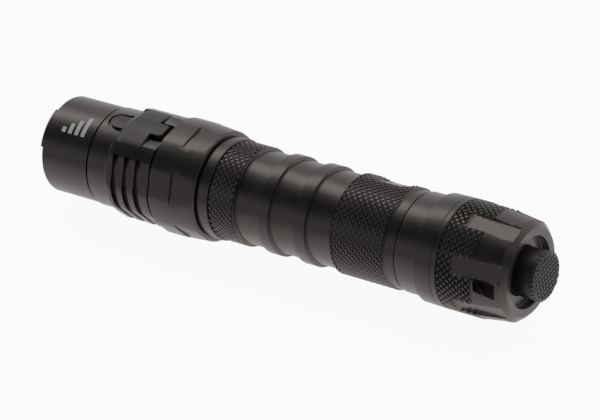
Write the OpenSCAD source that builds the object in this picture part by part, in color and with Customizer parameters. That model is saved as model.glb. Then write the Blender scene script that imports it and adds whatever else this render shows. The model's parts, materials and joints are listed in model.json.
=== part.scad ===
// Tactical flashlight: a one-cell rechargeable hand light that lies along X, beam towards +X.
// Every piece is drawn upright along z, from the bezel's tooth tips at 0 to the tail button,
// and lay() puts it down: z runs to -X, the charging-port side faces up, +Y stays +Y.

/* [Cell] */
// Diameter of the cell over its wrapper
cell_d = 18.4; // [17:0.1:21]
// Length of the cell over its positive cap
cell_len = 69; // [64:0.5:75]

/* [Bezel and optics] */
// Diameter of the lens
lens_d = 20; // [19:0.1:21.4]
// Thickness of the lens
lens_t = 1.8; // [1:0.1:3]
// Width of the rim that holds the lens in the bezel
lens_rim = 1.1; // [0.8:0.1:2]
// Thickness of the lens seal
seal_t = 1.1; // [0.6:0.1:1.6]
// Wall of the bezel round its screwed joint
bezel_wall = 1.25; // [0.8:0.05:1.8]
// Length of the bezel, from the tooth tips to its seam with the head
bezel_len = 14.7; // [13.5:0.1:18]
// Front wall of the bezel, from the tooth tips to the lens seal
lip_t = 2.2; // [1.8:0.1:3]
// Number of teeth on the bezel's rim
tooth_count = 3; // [2:1:5]
// Height of the teeth
tooth_h = 0.9; // [0.4:0.1:1.4]
// Width of one tooth, in degrees
tooth_angle = 49; // [20:1:60]
// Depth of the reflector behind the lens
reflector_depth = 10.1; // [8:0.1:11.5]
// Width of the flat rim round the reflector's mouth
reflector_rim = 1.7; // [1.2:0.1:3]
// Width of the square emitter
emitter_w = 3.4; // [2.5:0.1:3.8]

/* [Head] */
// Wall of the head from the tube's screwed joint to the tops of the cooling fins
head_wall = 2.4; // [2:0.05:3]
// Length of the head, from the bezel seam to the groove before the tube
head_len = 32; // [31:0.1:38]
// Depth of the neck behind the bezel seam below the fins
neck_depth = 1.25; // [0.8:0.05:1.6]
// Depth of the flats that are milled across the fins
flat_depth = 0.55; // [0.3:0.05:0.9]
// Height of the hexagonal block behind the fins above them
block_rise = 0.6; // [0.3:0.05:0.9]
// Depth of the block's flats below its corners, which stop the light from rolling
block_flat_depth = 0.35; // [0.2:0.05:0.5]
// Further depth of the flats at the back of the block
rear_flat_depth = 0.4; // [0.1:0.05:0.5]
// Drop of the block's corners to its rear edge
block_taper = 0.6; // [0.3:0.05:0.8]
// Number of cooling slots
slot_count = 3; // [2:1:4]
// Distance from one cooling slot to the next
slot_pitch = 3.3; // [2.6:0.1:3.8]
// Width of a cooling slot
slot_w = 1.6; // [1:0.1:2]
// Depth of the cooling slots below the tops of the fins
slot_depth = 1.1; // [0.8:0.05:1.6]
// Angle from the top at which the cooling slots begin
slot_start = 41; // [40:1:60]

/* [Charging port] */
// Distance from the bezel seam to the middle of the port
port_offset = 11.3; // [10.4:0.1:13]
// Width of the cover's strap
strap_w = 5.6; // [4.5:0.1:6.4]
// Width of the cover's middle band, measured straight across
band_w = 12.6; // [11:0.1:14]
// Length of the cover's middle band along the light
band_len = 6.5; // [5.6:0.1:7.4]
// Width of the cover's pull tab
tab_w = 4.2; // [3.4:0.1:6]
// Length of the pull tab behind the band
tab_len = 3.2; // [2.5:0.1:4]
// Thickness of the cover
cover_t = 1.25; // [0.9:0.05:1.5]

/* [Battery tube] */
// Wall of the tube at its screwed ends
spigot_wall = 1.4; // [1.2:0.05:1.8]
// Wall of the tube at its waists
waist_wall = 1.75; // [1.4:0.05:1.9]
// Depth of the scallops below the grip
scallop_depth = 0.75; // [0.5:0.05:1.1]
// Width of the groove between the head and the tube
neck_gap = 0.5; // [0.3:0.1:2]
// Length of the front grip, collar and knurled band together
front_grip_len = 10.2; // [8:0.1:14]
// Length from the front grip's ridge to the second ridge
scallop_1_len = 9.8; // [9:0.1:12]
// Length from the second ridge to the third
scallop_2_len = 10.1; // [9:0.1:12]
// Length of a scallop's low part
waist_len = 6.5; // [4:0.1:7]
// Length of a scallop's bevel back up to the grip
bevel_len = 0.3; // [0.2:0.1:1.5]
// Length of the tube from the rear knurled band to the tail seam
tail_run_len = 12.9; // [12:0.1:16]
// Length of the collar in front of the tail seam
collar_len = 4.5; // [3:0.1:6]

/* [Tail] */
// Wall of the tail cap round its screwed joint
tail_wall = 1.85; // [1.6:0.05:2.3]
// Length of the tail cap's straight grip behind the seam
tail_grip_len = 10.3; // [8:0.1:12]
// Width of the tail's taper and chamfer, from the grip to the end face
end_inset = 2.5; // [2:0.1:2.8]
// Thickness of the tail's end wall, which holds the button in
end_wall_t = 2.1; // [1.5:0.1:3]
// Diameter of the recess round the button
recess_d = 16.7; // [15:0.1:18.6]
// Depth of the recess round the button
recess_depth = 2; // [1:0.1:2.5]
// Number of milled pockets round the tail cap
pocket_count = 7; // [5:1:8]
// Width of a milled pocket
pocket_w = 4.3; // [2.5:0.1:4.5]
// Depth of a milled pocket
pocket_depth = 0.9; // [0.4:0.05:1]
// Length of the lanyard hole along the light
lanyard_len = 5.1; // [3:0.1:5.6]
// Height of the lanyard hole
lanyard_h = 2.2; // [1.2:0.1:2.5]
// Diameter of the push button
button_d = 11; // [9:0.1:12]
// Distance the button stands out of the tail's end face
button_out = 4.3; // [2.5:0.1:6]
// Travel of the button
button_travel = 1.5; // [0.8:0.1:2]

/* [Fits] */
// Radial gap between the cell and the tube
cell_gap = 0.15; // [0.1:0.05:0.3]
// Radial gap of a screwed joint
thread_gap = 0.1; // [0.05:0.01:0.15]
// Radial gap of a piece that is dropped into a bore
seat_gap = 0.1; // [0.05:0.01:0.2]
// Gap round pieces that move
running_gap = 0.3; // [0.2:0.05:0.4]

/* [Hidden] */

$fn = 96;
// How far a cut runs past the face that it opens
over = 1;

// Radii that the fits share, from the cell outwards
bore_r = cell_d / 2 + cell_gap;
spigot_r = bore_r + spigot_wall;
thread_bore_r = spigot_r + thread_gap;
seal_depth = 0.65;
groove_floor_r = spigot_r - seal_depth;
waist_r = bore_r + waist_wall;
grip_r = waist_r + scallop_depth;
tail_r = thread_bore_r + tail_wall;
head_r = thread_bore_r + head_wall;
neck_r = head_r - neck_depth;
fin_flat = head_r - flat_depth;
block_r = head_r + block_rise;
block_flat = block_r - block_flat_depth;
rear_flat = block_flat - rear_flat_depth;
axis_height = max(fin_flat, tail_r);
board_ledge = 0.6;
driver_r = bore_r - cell_gap;
cavity_r = driver_r - board_ledge;

// Radii of the bezel and what it clamps, from the lens outwards
reflector_wall = 0.5;
bowl_gap = 0.2;
lens_gap = 0.4;
tooth_middle = 31.5;
lens_r = lens_d / 2;
window_r = lens_r - lens_rim;
mouth_r = lens_r - reflector_rim;
front_bore_r = mouth_r + reflector_wall + bowl_gap;
front_spigot_r = lens_r + lens_gap;
bezel_bore_r = front_spigot_r + thread_gap;
bezel_r = bezel_bore_r + bezel_wall;

// Stations along z in the bezel and the head
flange_t = 0.8;
gasket_t = 0.6;
led_board_t = 1.6;
shelf_t = 3;
lens_z = lip_t + seal_t;
reflector_z = lens_z + lens_t;
spigot_z = reflector_z + flange_t;
gasket_z = reflector_z + reflector_depth;
led_board_z = gasket_z + gasket_t;
shelf_z = led_board_z + led_board_t;
cavity_z = shelf_z + shelf_t;
head_end = bezel_len + head_len;

// The driver board sits on a step in front of the cell
pcb_t = 1.4;
ring_t = 1.4;
contact_h = 2.8;
spigot_lead = 0.6;
driver_step = 12.7;
driver_z = head_end - driver_step;
driver_ring_z = driver_z + pcb_t;
thread_clear = 0.2;
thread_z = driver_ring_z + ring_t + thread_clear;
cell_z = driver_ring_z + contact_h;
cell_end = cell_z + cell_len;
tube_front = cell_z - spigot_lead;

// Stations along z on the tube: the cell sets where the tail seam is
spring_room = 4.2;
rear_spigot_len = 4.6;
ridge_step = 0.3;
tube_z = head_end + neck_gap;
ridge_1 = tube_z + front_grip_len;
ridge_2 = ridge_1 + scallop_1_len;
ridge_3 = ridge_2 + scallop_2_len;
tail_seam = cell_end + spring_room;
ridge_4 = tail_seam - tail_run_len;
tube_rear = tail_seam + rear_spigot_len;

// O-rings in their grooves
o_ring_w = 1.4;
o_ring_play = 0.05;
front_seal_inset = 2.2;
rear_seal_inset = 0.6;
bezel_seal_inset = 2.8;
front_seal_z = head_end - front_seal_inset;
rear_seal_z = tail_seam + rear_seal_inset;
bezel_seal_z = bezel_len - bezel_seal_inset;
bezel_seal_depth = 0.6;

// Stations along z in the tail cap, stacked from the tube to the end face
switch_ring_t = 1.6;
switch_pcb_t = 1.2;
spacer_t = 2.2;
flange_clear = 1.1;
flange_gap = 0.2;
button_flange_t = 1.2;
spring_seat = 0.4;
switch_ring_z = tube_rear + spigot_lead;
switch_board_z = switch_ring_z + switch_ring_t;
switch_z = switch_board_z + switch_pcb_t;
spacer_end = switch_z + spacer_t;
button_flange_z = spacer_end + button_travel + flange_clear;
end_wall_z = button_flange_z + button_flange_t + flange_gap;
recess_floor = end_wall_z + end_wall_t;
tail_end = recess_floor + recess_depth;
switch_top = button_flange_z - button_travel - spring_seat;
total_len = tail_end + button_out;

// Radii inside the tail cap
flange_w = 1.7;
pocket_step_r = 0.25;
button_r = button_d / 2;
button_hole_r = button_r + running_gap;
flange_pocket_r = button_hole_r + flange_w;
switch_pocket_r = bore_r + pocket_step_r;
spacer_ledge = 0.6;
spacer_hole_r = flange_pocket_r - spacer_ledge;

// Charging port: the cover folds about a hinge roll at the end of its strap
hinge_r = 0.5;
hinge_reach = 1.35;
web_t = 0.6;
strap_t = 0.8;
port_z = bezel_len + port_offset;
band_z = port_z - band_len / 2;
band_end = band_z + band_len;
tab_end = band_end + tab_len;
strap_margin = 1.2;
strap_sink = 0.65;
strap_z = bezel_len + strap_margin;
cover_floor_r = neck_r - strap_sink;
cover_in_r = cover_floor_r + running_gap;
cover_out_r = cover_in_r + cover_t;
hinge_z = band_z - hinge_reach;
hinge_lift = 0.05;
swing_gap = 2 * running_gap;
hinge_clear = 0.15;
nail_rise = 0.25;
nail_gap = 1;
hinge_height = cover_in_r + hinge_lift;
strap_end = hinge_z - hinge_r - hinge_clear;
nail_floor = cover_in_r + nail_rise;
strap_peg_r = 1.2;
strap_peg_depth = 2;
strap_peg_z = strap_z + strap_w / 2;

// Charging socket, standing on its board below the port
socket_w = 8.94;
socket_h = 3.26;
socket_wall = 0.3;
socket_depth = 6.6;
socket_floor_t = 0.6;
socket_sink = 1.05;
socket_mouth = cover_floor_r - socket_sink;
socket_foot = socket_mouth - socket_depth;
tongue_w = 6.7;
tongue_t = 0.7;
tongue_inset = 1.6;
charge_pcb_t = 1.2;
charge_pcb_w = 12;
plug_w = 7.6;
plug_h = 1.9;
plug_depth = 0.4;

// Cooling slots, hexagon, and the nail flat that runs into the ring groove
neck_len = 5.3;
head_rise_len = 1.6;
slot_margin = 1.05;
last_fin_w = 2.55;
head_rise_z = bezel_len + neck_len;
slot_z = head_rise_z + head_rise_len + slot_margin;
hex_groove_w = 1;
hex_groove_lap = 0.1;
hex_groove_z = slot_z + (slot_count - 1) * slot_pitch + slot_w + last_fin_w;
hex_groove_depth = 0.45;
nail_end = max(tab_end + nail_gap, hex_groove_z + hex_groove_lap);
block_z = hex_groove_z + hex_groove_w;
rear_flat_len = 7.4;
rear_flat_z = head_end - rear_flat_len;

// Tail pockets, milled by a cutter whose axis lies across the light
pocket_offset = 7.3;
pocket_z = tail_seam + pocket_offset;
pocket_cutter_r = 4;
pocket_tilt = 3.6;
first_pocket = 5;
pocket_step = 360 / pocket_count;

// The lanyard hole runs across the tail cap, under its surface and in front of the recess
lanyard_angle = 107.5;
lanyard_wall = 1.75;
lanyard_margin = 0.2;
lanyard_z = recess_floor - lanyard_margin - lanyard_len;
lanyard_floor = tail_r - lanyard_wall - lanyard_h;

// The reflector's eye and the gasket under it centre on the emitter
eye_gap = 0.45;
gasket_w = 1.6;
reflector_eye_r = emitter_w / 2 * sqrt(2) + eye_gap;
gasket_r = reflector_eye_r + gasket_w;

// Emitter leads run on each side of the charging board
lead_r = 0.5;
lead_hole_r = 0.8;
lead_x = -2;
lead_inset = 2.4;
lead_y = front_bore_r - lead_inset;
lead_tip = 0.3;

// Cell
cell_cap_r = 3;
cell_cap_h = 1.7;
cell_top_t = 0.4;
wrapper_t = 0.15;
wrapper_gap = 0.02;
can_r = cell_d / 2 - wrapper_t - wrapper_gap;
can_z = cell_z + cell_cap_h;

// Springs and switch
spring_wire_r = 0.45;
spring_tip_r = 3.2;
spring_foot_r = 5.4;
switch_w = 8.6;
plunger_r = 2.4;
plunger_socket = 2;
wrench_w = 1.6;

black = [0.07, 0.07, 0.075];
rubber_black = [0.04, 0.04, 0.042];
board_green = [0.08, 0.28, 0.14];
brass = [0.72, 0.58, 0.3];
steel = [0.7, 0.7, 0.72];

// Lays an upright piece along X with its axis at the height at which the light lies
module lay() {
    translate([total_len / 2, 0, axis_height])
        rotate([0, -90, 0])
            children();
}

// A ring between two radii and two stations
module ring(r_out, r_in, z0, z1) {
    difference() {
        translate([0, 0, z0])
            cylinder(r = r_out, h = z1 - z0);
        translate([0, 0, z0 - over])
            cylinder(r = r_in, h = z1 - z0 + 2 * over);
    }
}

// A straight bore, from one station to another
module bore(r, z0, z1) {
    translate([0, 0, z0])
        cylinder(r = r, h = z1 - z0);
}

// A turned solid from [z, r] points, closed on the axis
module turned(points) {
    first = points[0];
    last = points[len(points) - 1];
    outline = [for (p = points) [p[1], p[0]]];
    rotate_extrude()
        polygon(concat([[0, first[0]]], outline, [[0, last[0]]]));
}

// An arc of a ring, centred on the given angle
module ring_arc(r_out, r_in, z0, z1, middle, width) {
    rotate([0, 0, middle - width / 2])
        rotate_extrude(angle = width)
            translate([r_in, z0])
                square([r_out - r_in, z1 - z0]);
}

// Extrudes an outline drawn in y and z along x, from height x0 to x1
module above(x0, x1) {
    translate([x0, 0, 0])
        rotate([90, 0, 90])
            linear_extrude(x1 - x0)
                children();
}

// Flat strip with round ends, drawn in y and z round the middle of the port
module port_outline(w, h) {
    straight = w - h;
    translate([0, port_z]) {
        square([straight, h], center = true);
        for (side = [-1, 1])
            translate([side * straight / 2, 0])
                circle(d = h);
    }
}

// Hexagonal prism with its first flat facing up
module hexagon(flat, z0, z1) {
    translate([0, 0, z0])
        rotate([0, 0, 30])
            cylinder(r = flat / cos(30), h = z1 - z0, $fn = 6);
}

// Rubber ring with a square section, a little narrower than its groove
module o_ring(r_out, r_in, groove_z) {
    ring(r_out, r_in, groove_z + o_ring_play, groove_z + o_ring_w - o_ring_play);
}

// Retaining ring with a slot across one face for a wrench
module slotted_ring(r_out, r_in, z0, z1, slot_from) {
    difference() {
        ring(r_out, r_in, z0, z1);
        translate([-r_out, -wrench_w / 2, slot_from])
            cube([2 * r_out, wrench_w, (z1 - z0) / 2 + over]);
    }
}

// A scallop: a step down from the ridge at z, the low part, and the bevel back up
function scallop(z) = [
    [z, grip_r],
    [z + ridge_step, waist_r],
    [z + waist_len, waist_r],
    [z + waist_len + bevel_len, grip_r]];

// Wire wound in a helix whose radius changes from r0 to r1
module coil(r0, r1, z0, z1, turns, wire_r) {
    sides = 6;
    per_turn = 16;
    rings = turns * per_turn;
    points = [
        for (i = [0 : rings])
            for (j = [0 : sides - 1])
                let (
                    t = i / rings,
                    angle = 360 * i / per_turn,
                    r = r0 + (r1 - r0) * t + wire_r * cos(360 * j / sides),
                    z = z0 + wire_r + (z1 - z0 - 2 * wire_r) * t + wire_r * sin(360 * j / sides)
                )
                [r * cos(angle), r * sin(angle), z]
    ];
    walls = [
        for (i = [0 : rings - 1])
            for (j = [0 : sides - 1])
                let (
                    a = i * sides + j,
                    b = i * sides + (j + 1) % sides
                )
                each [[a, b, b + sides], [a, b + sides, a + sides]]
    ];
    last = rings * sides;
    ends = [
        for (j = [1 : sides - 2])
            each [[0, j + 1, j], [last, last + j, last + j + 1]]
    ];
    polyhedron(points, concat(walls, ends));
}

module bezel() {
    round_r = 0.6;
    flare = 1;
    gap_angle = 360 / tooth_count - tooth_angle;
    color(black)
        lay()
            difference() {
                turned(concat(
                    [for (a = [0 : 22.5 : 90])
                        [round_r * (1 - cos(a)), bezel_r - round_r * (1 - sin(a))]],
                    [[bezel_len, bezel_r]]));
                bore(bezel_bore_r, lip_t, bezel_len + over);
                bore(window_r, -over, lip_t + over);
                turned([[-over, window_r + flare + over], [flare, window_r]]);
                for (i = [0 : tooth_count - 1])
                    ring_arc(bezel_r + over, window_r - over, -over, tooth_h,
                        tooth_middle + (i + 0.5) * 360 / tooth_count, gap_angle);
            }
}

module bezel_o_ring() {
    color(rubber_black)
        lay()
            o_ring(bezel_bore_r - o_ring_play, front_spigot_r - bezel_seal_depth, bezel_seal_z);
}

module lens_seal() {
    color(rubber_black)
        lay()
            ring(lens_r, window_r, lip_t, lens_z);
}

module lens() {
    bevel = 0.25;
    color([0.8, 0.88, 0.9, 0.4])
        lay()
            turned([[lens_z, lens_r - bevel], [lens_z + bevel, lens_r],
                [reflector_z - bevel, lens_r], [reflector_z, lens_r - bevel]]);
}

module reflector() {
    steps = 14;
    neck_wall = 1.1;
    rise = reflector_depth / (mouth_r * mouth_r - reflector_eye_r * reflector_eye_r);
    // The parabola runs from the mouth to the eye round the emitter
    bowl = [for (i = [0 : steps])
        let (r = mouth_r + (reflector_eye_r - mouth_r) * i / steps)
        [r, reflector_z + rise * (mouth_r * mouth_r - r * r)]];
    back = [for (i = [steps : -1 : 0])
        [bowl[i][0] + reflector_wall + neck_wall * i / steps, bowl[i][1]]];
    color(steel)
        lay()
            union() {
                rotate_extrude()
                    polygon(concat(bowl, back));
                ring(lens_r, mouth_r, reflector_z, spigot_z);
            }
}

module led_gasket() {
    color([0.9, 0.9, 0.88])
        lay()
            ring(gasket_r, reflector_eye_r, gasket_z, led_board_z);
}

module led_emitter() {
    base_t = 0.4;
    dome_r = 1.3;
    top = led_board_z - base_t;
    color([0.93, 0.85, 0.35])
        lay()
            union() {
                translate([-emitter_w / 2, -emitter_w / 2, top])
                    cube([emitter_w, emitter_w, base_t]);
                intersection() {
                    translate([0, 0, top])
                        sphere(r = dome_r);
                    bore(dome_r + over, top - dome_r, top);
                }
            }
}

module lead_holes(z0, z1) {
    for (side = [-1, 1])
        translate([lead_x, side * lead_y, 0])
            bore(lead_hole_r, z0, z1);
}

module led_board() {
    color([0.75, 0.5, 0.32])
        lay()
            difference() {
                bore(front_bore_r - seat_gap, led_board_z, shelf_z);
                lead_holes(led_board_z - over, shelf_z + over);
            }
}

module led_leads() {
    color([0.6, 0.1, 0.08])
        lay()
            for (side = [-1, 1])
                translate([lead_x, side * lead_y, 0])
                    bore(lead_r, led_board_z - lead_tip, driver_z);
}

// Outside of the head: turned, milled to a hexagon in three depths, and flat underneath so that
// the light lies level
module head_outside() {
    chamfer = 0.4;
    seam = 0.15;
    rear_r = block_r - block_taper;
    intersection() {
        union() {
            turned([[bezel_len, neck_r - seam], [bezel_len + seam, neck_r], [head_rise_z, neck_r],
                [head_rise_z + head_rise_len, head_r], [block_z, head_r], [block_z, block_r],
                [rear_flat_z, block_r], [head_end - chamfer, rear_r], [head_end, rear_r - chamfer]]);
            bore(front_spigot_r, spigot_z, bezel_len + over);
        }
        union() {
            hexagon(fin_flat, spigot_z - over, block_z + over);
            hexagon(block_flat, block_z, rear_flat_z + over);
            hexagon(rear_flat, rear_flat_z, head_end + over);
        }
        translate([-axis_height, -2 * head_r, spigot_z - over])
            cube([4 * head_r, 4 * head_r, head_end - spigot_z + 2 * over]);
    }
}

// Cooling slots round the sides and the bottom, and the ring groove that closes them off
module cooling_slots() {
    for (i = [0 : slot_count - 1])
        let (z = slot_z + i * slot_pitch)
        ring_arc(2 * head_r, head_r - slot_depth, z, z + slot_w, 180, 360 - 2 * slot_start);
    ring(2 * head_r, fin_flat - hex_groove_depth, hex_groove_z, hex_groove_z + hex_groove_w);
}

// Strap outline in y and z, with a round front end
module strap_outline(grow, z_end) {
    r = strap_w / 2 + grow;
    translate([0, strap_peg_z])
        circle(r = r);
    translate([-r, strap_peg_z])
        square([2 * r, z_end - strap_peg_z]);
}

// Band outline in y and z
module band_outline(grow) {
    translate([-band_w / 2 - grow, band_z - grow])
        square([band_w + 2 * grow, band_len + 2 * grow]);
}

// Outline of the pull tab in y and z, with cut corners
module tab_outline(grow) {
    corner = 0.6;
    tab = tab_w / 2 + grow;
    end = tab_end + grow;
    polygon([[-tab, band_end - over], [tab, band_end - over], [tab, end - corner],
        [tab - corner, end], [corner - tab, end], [-tab, end - corner]]);
}

// Room for the cover: its seat, its strap and hinge, the neck's level in front of its band, and
// a flat for a fingernail by its tab
module cover_recess() {
    intersection() {
        above(0, 2 * head_r)
            union() {
                band_outline(running_gap);
                tab_outline(nail_gap);
                translate([-band_w / 2 - running_gap, band_z - swing_gap])
                    square([band_w + 2 * running_gap, band_len]);
                strap_outline(seat_gap, strap_end);
                translate([-strap_w / 2 - running_gap, strap_end - over])
                    square([strap_w + 2 * running_gap, band_z - strap_end + over]);
            }
        ring(2 * head_r, cover_floor_r, bezel_len, nail_end + over);
    }
    intersection() {
        above(0, 2 * head_r)
            translate([-band_w / 2 - running_gap, head_rise_z])
                square([band_w + 2 * running_gap, band_z - head_rise_z]);
        ring(2 * head_r, neck_r + seat_gap, head_rise_z, band_z);
    }
    above(nail_floor, 2 * head_r)
        translate([-head_r, band_end])
            square([2 * head_r, nail_end - band_end]);
    hinge_roll(hinge_r + running_gap, strap_w + 2 * running_gap);
}

// Cylinder on the cover's hinge axis
module hinge_roll(r, w) {
    translate([hinge_height, w / 2, hinge_z])
        rotate([90, 0, 0])
            cylinder(r = r, h = w);
}

// Peg that holds the strap in the head
module strap_peg(grow, top) {
    foot = cover_floor_r - strap_peg_depth - grow;
    translate([foot, 0, strap_peg_z])
        rotate([0, 90, 0])
            cylinder(r = strap_peg_r + grow, h = top - foot);
}

module head_body() {
    color(black)
        lay()
            difference() {
                head_outside();
                bore(front_bore_r, spigot_z - over, shelf_z);
                bore(cavity_r, cavity_z, head_end);
                bore(driver_r, driver_z, head_end);
                bore(thread_bore_r, thread_z, head_end + over);
                ring(front_spigot_r + over, front_spigot_r - bezel_seal_depth,
                    bezel_seal_z, bezel_seal_z + o_ring_w);
                lead_holes(shelf_z - over, cavity_z + over);
                cooling_slots();
                cover_recess();
                above(socket_foot, 2 * head_r)
                    port_outline(socket_w + 2 * seat_gap, socket_h + 2 * seat_gap);
                strap_peg(seat_gap, neck_r);
            }
}

module cover_strap() {
    color(rubber_black)
        lay()
            union() {
                intersection() {
                    above(0, 2 * head_r)
                        strap_outline(0, strap_end);
                    ring(cover_floor_r + strap_t, cover_floor_r + o_ring_play, bezel_len, strap_end);
                }
                strap_peg(0, cover_floor_r + strap_t / 2);
            }
}

module port_cover() {
    color(rubber_black)
        lay()
            union() {
                intersection() {
                    above(0, 2 * head_r)
                        union() {
                            band_outline(0);
                            tab_outline(0);
                        }
                    ring(cover_out_r, cover_in_r, band_z - over, tab_end + over);
                }
                above(socket_mouth - plug_depth, cover_in_r + cover_t / 2)
                    port_outline(plug_w, plug_h);
                hinge_roll(hinge_r, strap_w);
                translate([hinge_height - web_t / 2, -strap_w / 2, hinge_z])
                    cube([web_t, strap_w, hinge_reach + web_t]);
            }
}

module charge_socket() {
    color(steel)
        lay()
            difference() {
                above(socket_foot, socket_mouth)
                    port_outline(socket_w, socket_h);
                above(socket_foot + socket_floor_t, socket_mouth + over)
                    port_outline(socket_w - 2 * socket_wall, socket_h - 2 * socket_wall);
            }
}

module charge_tongue() {
    color([0.12, 0.12, 0.13])
        lay()
            above(socket_foot + socket_floor_t, socket_mouth - tongue_inset)
                translate([0, port_z])
                    square([tongue_w, tongue_t], center = true);
}

module charge_board() {
    color(board_green)
        lay()
            above(socket_foot - charge_pcb_t, socket_foot)
                translate([-charge_pcb_w / 2, cavity_z])
                    square([charge_pcb_w, driver_z - cavity_z]);
}

module driver_components() {
    choke_w = 5.2;
    choke_h = 3.6;
    choke_gap = 0.4;
    chip_w = 4;
    chip_d = 2.4;
    chip_t = 1;
    capacitor_r = 1.3;
    capacitor_h = 4.4;
    side = 4.6;
    color([0.16, 0.16, 0.17])
        lay() {
            translate([-choke_w - choke_gap, -choke_w / 2, driver_z - choke_h])
                cube([choke_w, choke_w, choke_h]);
            translate([-chip_w, -side - chip_d / 2, driver_z - chip_t])
                cube([chip_w, chip_d, chip_t]);
            translate([-side, side, driver_z - capacitor_h])
                cylinder(r = capacitor_r, h = capacitor_h);
        }
}

module driver_board() {
    color(board_green)
        lay()
            bore(driver_r - seat_gap, driver_z, driver_ring_z);
}

module driver_retaining_ring() {
    width = 2;
    color(brass)
        lay()
            slotted_ring(driver_r - seat_gap, driver_r - width,
                driver_ring_z, driver_ring_z + ring_t, driver_ring_z + ring_t / 2);
}

module front_contact() {
    base_r = 3.4;
    base_t = 0.5;
    post_r = 2.4;
    bevel = 0.3;
    color(brass)
        lay()
            turned([[driver_ring_z, base_r], [driver_ring_z + base_t, base_r],
                [driver_ring_z + base_t, post_r], [cell_z - bevel, post_r], [cell_z, post_r - bevel]]);
}

module battery_tube() {
    edge = 0.2;
    lead_in = 0.5;
    notch_r = grip_r - 0.4;
    shelf_r = grip_r - 0.17;
    line_inset = 2.6;
    line_w = 0.5;
    line_depth = 0.3;
    collar_drop = 0.1;
    collar_chamfer = 0.4;
    line_z = ridge_4 + line_inset;
    line_end = line_z + line_w;
    collar_z = tail_seam - collar_len;
    color(black)
        lay()
            difference() {
                turned(concat(
                    [[tube_front, spigot_r - lead_in], [tube_front + lead_in, spigot_r],
                        [tube_z, spigot_r], [tube_z, grip_r - edge], [tube_z + edge, grip_r]],
                    scallop(ridge_1),
                    scallop(ridge_2),
                    scallop(ridge_3),
                    [[ridge_4, grip_r], [ridge_4 + ridge_step, notch_r], [line_z, notch_r],
                        [line_z, notch_r - line_depth], [line_end, notch_r - line_depth],
                        [line_end, shelf_r], [collar_z - collar_chamfer, shelf_r],
                        [collar_z, tail_r - collar_drop], [tail_seam - edge, tail_r],
                        [tail_seam, tail_r - edge], [tail_seam, spigot_r],
                        [tube_rear - lead_in, spigot_r], [tube_rear, spigot_r - lead_in]]));
                bore(bore_r, tube_front - over, tube_rear + over);
                for (z = [front_seal_z, rear_seal_z])
                    ring(spigot_r + seal_depth, groove_floor_r, z, z + o_ring_w);
            }
}

module front_o_ring() {
    color(rubber_black)
        lay()
            o_ring(thread_bore_r - o_ring_play, groove_floor_r, front_seal_z);
}

module rear_o_ring() {
    color(rubber_black)
        lay()
            o_ring(thread_bore_r - o_ring_play, groove_floor_r, rear_seal_z);
}

module cell_positive_cap() {
    color(steel)
        lay()
            bore(cell_cap_r, cell_z, can_z);
}

module cell_top_ring() {
    color([0.9, 0.9, 0.9])
        lay()
            ring(can_r, cell_cap_r + seat_gap, can_z - cell_top_t, can_z);
}

module cell_can() {
    color(steel)
        lay()
            bore(can_r, can_z, cell_end);
}

module cell_wrapper() {
    bare_end = 0.3;
    color([0.12, 0.3, 0.5])
        lay()
            ring(cell_d / 2, can_r + wrapper_gap, can_z - cell_top_t, cell_end - bare_end);
}

// Outside of the tail cap: a straight grip, a small step, a taper to the end, and a chamfer
module tail_outside() {
    edge = 0.2;
    chamfer = 1.4;
    grip_step = 0.2;
    taper_drop = 1.05;
    grip_end = tail_seam + tail_grip_len;
    taper_end = tail_end - chamfer;
    turned([[tail_seam, tail_r - edge], [tail_seam + edge, tail_r], [grip_end, tail_r],
        [grip_end + edge, tail_r - grip_step], [taper_end, tail_r - taper_drop],
        [tail_end, tail_r - end_inset]]);
}

// One milled pocket on the top of the tail cap, run out at its front by the cutter's radius
module tail_pocket() {
    length = tail_end - pocket_z + 2 * over;
    translate([tail_r - pocket_depth, 0, pocket_z])
        rotate([0, -pocket_tilt, 0]) {
            translate([0, -pocket_w / 2, 0])
                cube([2 * pocket_cutter_r, pocket_w, length]);
            translate([pocket_cutter_r, pocket_w / 2, 0])
                rotate([90, 0, 0])
                    cylinder(r = pocket_cutter_r, h = pocket_w);
        }
}

module tail_cap() {
    color(black)
        lay()
            difference() {
                tail_outside();
                bore(thread_bore_r, tail_seam - over, switch_ring_z - seat_gap);
                bore(switch_pocket_r, tail_seam, spacer_end);
                bore(flange_pocket_r, tail_seam, end_wall_z);
                bore(button_hole_r, tail_seam, tail_end + over);
                bore(recess_d / 2, recess_floor, tail_end + over);
                for (i = [0 : pocket_count - 1])
                    rotate([0, 0, first_pocket + i * pocket_step])
                        tail_pocket();
                rotate([0, 0, lanyard_angle])
                    translate([lanyard_floor, -2 * tail_r, lanyard_z])
                        cube([lanyard_h, 4 * tail_r, lanyard_len]);
            }
}

module tail_spring() {
    turns = 5;
    color(brass)
        lay()
            coil(spring_tip_r, spring_foot_r, cell_end, switch_board_z, turns, spring_wire_r);
}

module switch_board() {
    color(board_green)
        lay()
            bore(switch_pocket_r - seat_gap, switch_board_z, switch_z);
}

module switch_retaining_ring() {
    color(brass)
        lay()
            slotted_ring(switch_pocket_r - seat_gap, spring_foot_r + 2 * spring_wire_r,
                switch_ring_z, switch_board_z, switch_ring_z - over);
}

module switch_spacer() {
    color([0.85, 0.85, 0.82])
        lay()
            ring(switch_pocket_r - seat_gap, spacer_hole_r, switch_z, spacer_end);
}

module switch_body() {
    color([0.2, 0.2, 0.21])
        lay()
            difference() {
                translate([-switch_w / 2, -switch_w / 2, switch_z])
                    cube([switch_w, switch_w, switch_top - switch_z]);
                bore(plunger_r + running_gap, switch_z - over, switch_top + over);
            }
}

module switch_spring() {
    wire_r = 0.2;
    turns = 2;
    r = plunger_r + 0.9;
    color(steel)
        lay()
            coil(r, r, switch_top, button_flange_z, turns, wire_r);
}

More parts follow.
